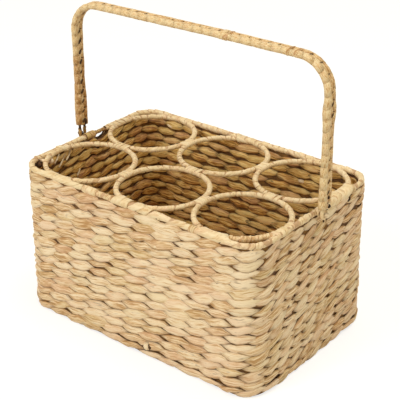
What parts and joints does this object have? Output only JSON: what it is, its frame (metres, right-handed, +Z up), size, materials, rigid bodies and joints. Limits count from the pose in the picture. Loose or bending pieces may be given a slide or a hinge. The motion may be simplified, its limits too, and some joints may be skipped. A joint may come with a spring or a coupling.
{
  "type": "wine bottle basket",
  "caption": "Woven leaf bottle carrier on a wire frame, with wrapped rings that hold wine bottles upright and a tall handle that swings over the rim.",
  "frame": {"origin": "middle of the underside, on the surface that the basket stands on", "axes": "+X along the basket's length, +Y towards its back long side, +Z up"},
  "size_m": [0.356, 0.224, 0.3477],
  "materials": {
    "leaf_weave": "matt dried leaf, straw to light brown, twined in rows",
    "rim_leaf": "matt pale dried leaf wound tightly round wire",
    "handle_leaf": "matt dried leaf wound in a figure of eight round two rods",
    "frame_wire": "dark brown lacquered steel wire",
    "hinge_metal": "dark lacquered steel, rubbed at the joint"
  },
  "bodies": {
    "basket": {"base_wire": "frame_wire", "cross_wire_1": "frame_wire", "cross_wire_2": "frame_wire", "cross_wire_3": "frame_wire", "cross_wire_4": "frame_wire", "hinge_pin_left": "hinge_metal", "hinge_pin_right": "hinge_metal", "rim_wire": "frame_wire", "rim_wrap_back": "rim_leaf", "rim_wrap_front": "rim_leaf", "rim_wrap_left_back": "rim_leaf", "rim_wrap_left_front": "rim_leaf", "rim_wrap_right_back": "rim_leaf", "rim_wrap_right_front": "rim_leaf", "ring_tie_across_left": "rim_leaf", "ring_tie_across_middle": "rim_leaf", "ring_tie_across_right": "rim_leaf", "ring_tie_back_left_to_middle": "rim_leaf", "ring_tie_back_middle_to_right": "rim_leaf", "ring_tie_front_left_to_middle": "rim_leaf", "ring_tie_front_middle_to_right": "rim_leaf", "ring_wire_back_left": "frame_wire", "ring_wire_back_middle": "frame_wire", "ring_wire_back_right": "frame_wire", "ring_wire_front_left": "frame_wire", "ring_wire_front_middle": "frame_wire", "ring_wire_front_right": "frame_wire", "ring_wrap_back_left": "rim_leaf", "ring_wrap_back_left_corner": "rim_leaf", "ring_wrap_back_middle": "rim_leaf", "ring_wrap_back_right": "rim_leaf", "ring_wrap_back_right_corner": "rim_leaf", "ring_wrap_front_left": "rim_leaf", "ring_wrap_front_left_corner": "rim_leaf", "ring_wrap_front_middle": "rim_leaf", "ring_wrap_front_right": "rim_leaf", "ring_wrap_front_right_corner": "rim_leaf", "stake_back_left": "frame_wire", "stake_back_right": "frame_wire", "stake_corner_back_left": "frame_wire", "stake_corner_back_right": "frame_wire", "stake_corner_front_left": "frame_wire", "stake_corner_front_right": "frame_wire", "stake_front_left": "frame_wire", "stake_front_right": "frame_wire", "stake_left": "frame_wire", "stake_right": "frame_wire", "woven_border": "leaf_weave", "woven_floor": "leaf_weave", "woven_wall": "leaf_weave"},
    "handle": {"handle_eye_left": "hinge_metal", "handle_eye_right": "hinge_metal", "handle_rod_back": "frame_wire", "handle_rod_front": "frame_wire", "handle_wrap_bar": "handle_leaf", "handle_wrap_left_corner": "handle_leaf", "handle_wrap_left_leg": "handle_leaf", "handle_wrap_right_corner": "handle_leaf", "handle_wrap_right_leg": "handle_leaf"}
  },
  "joints": [
    {"name": "handle_swing", "type": "hinge", "parent": "basket", "child": "handle", "pos_m": [0, 0, 0.178], "axis": [1, 0, 0], "range_deg": [-130, 130]}
  ]
}
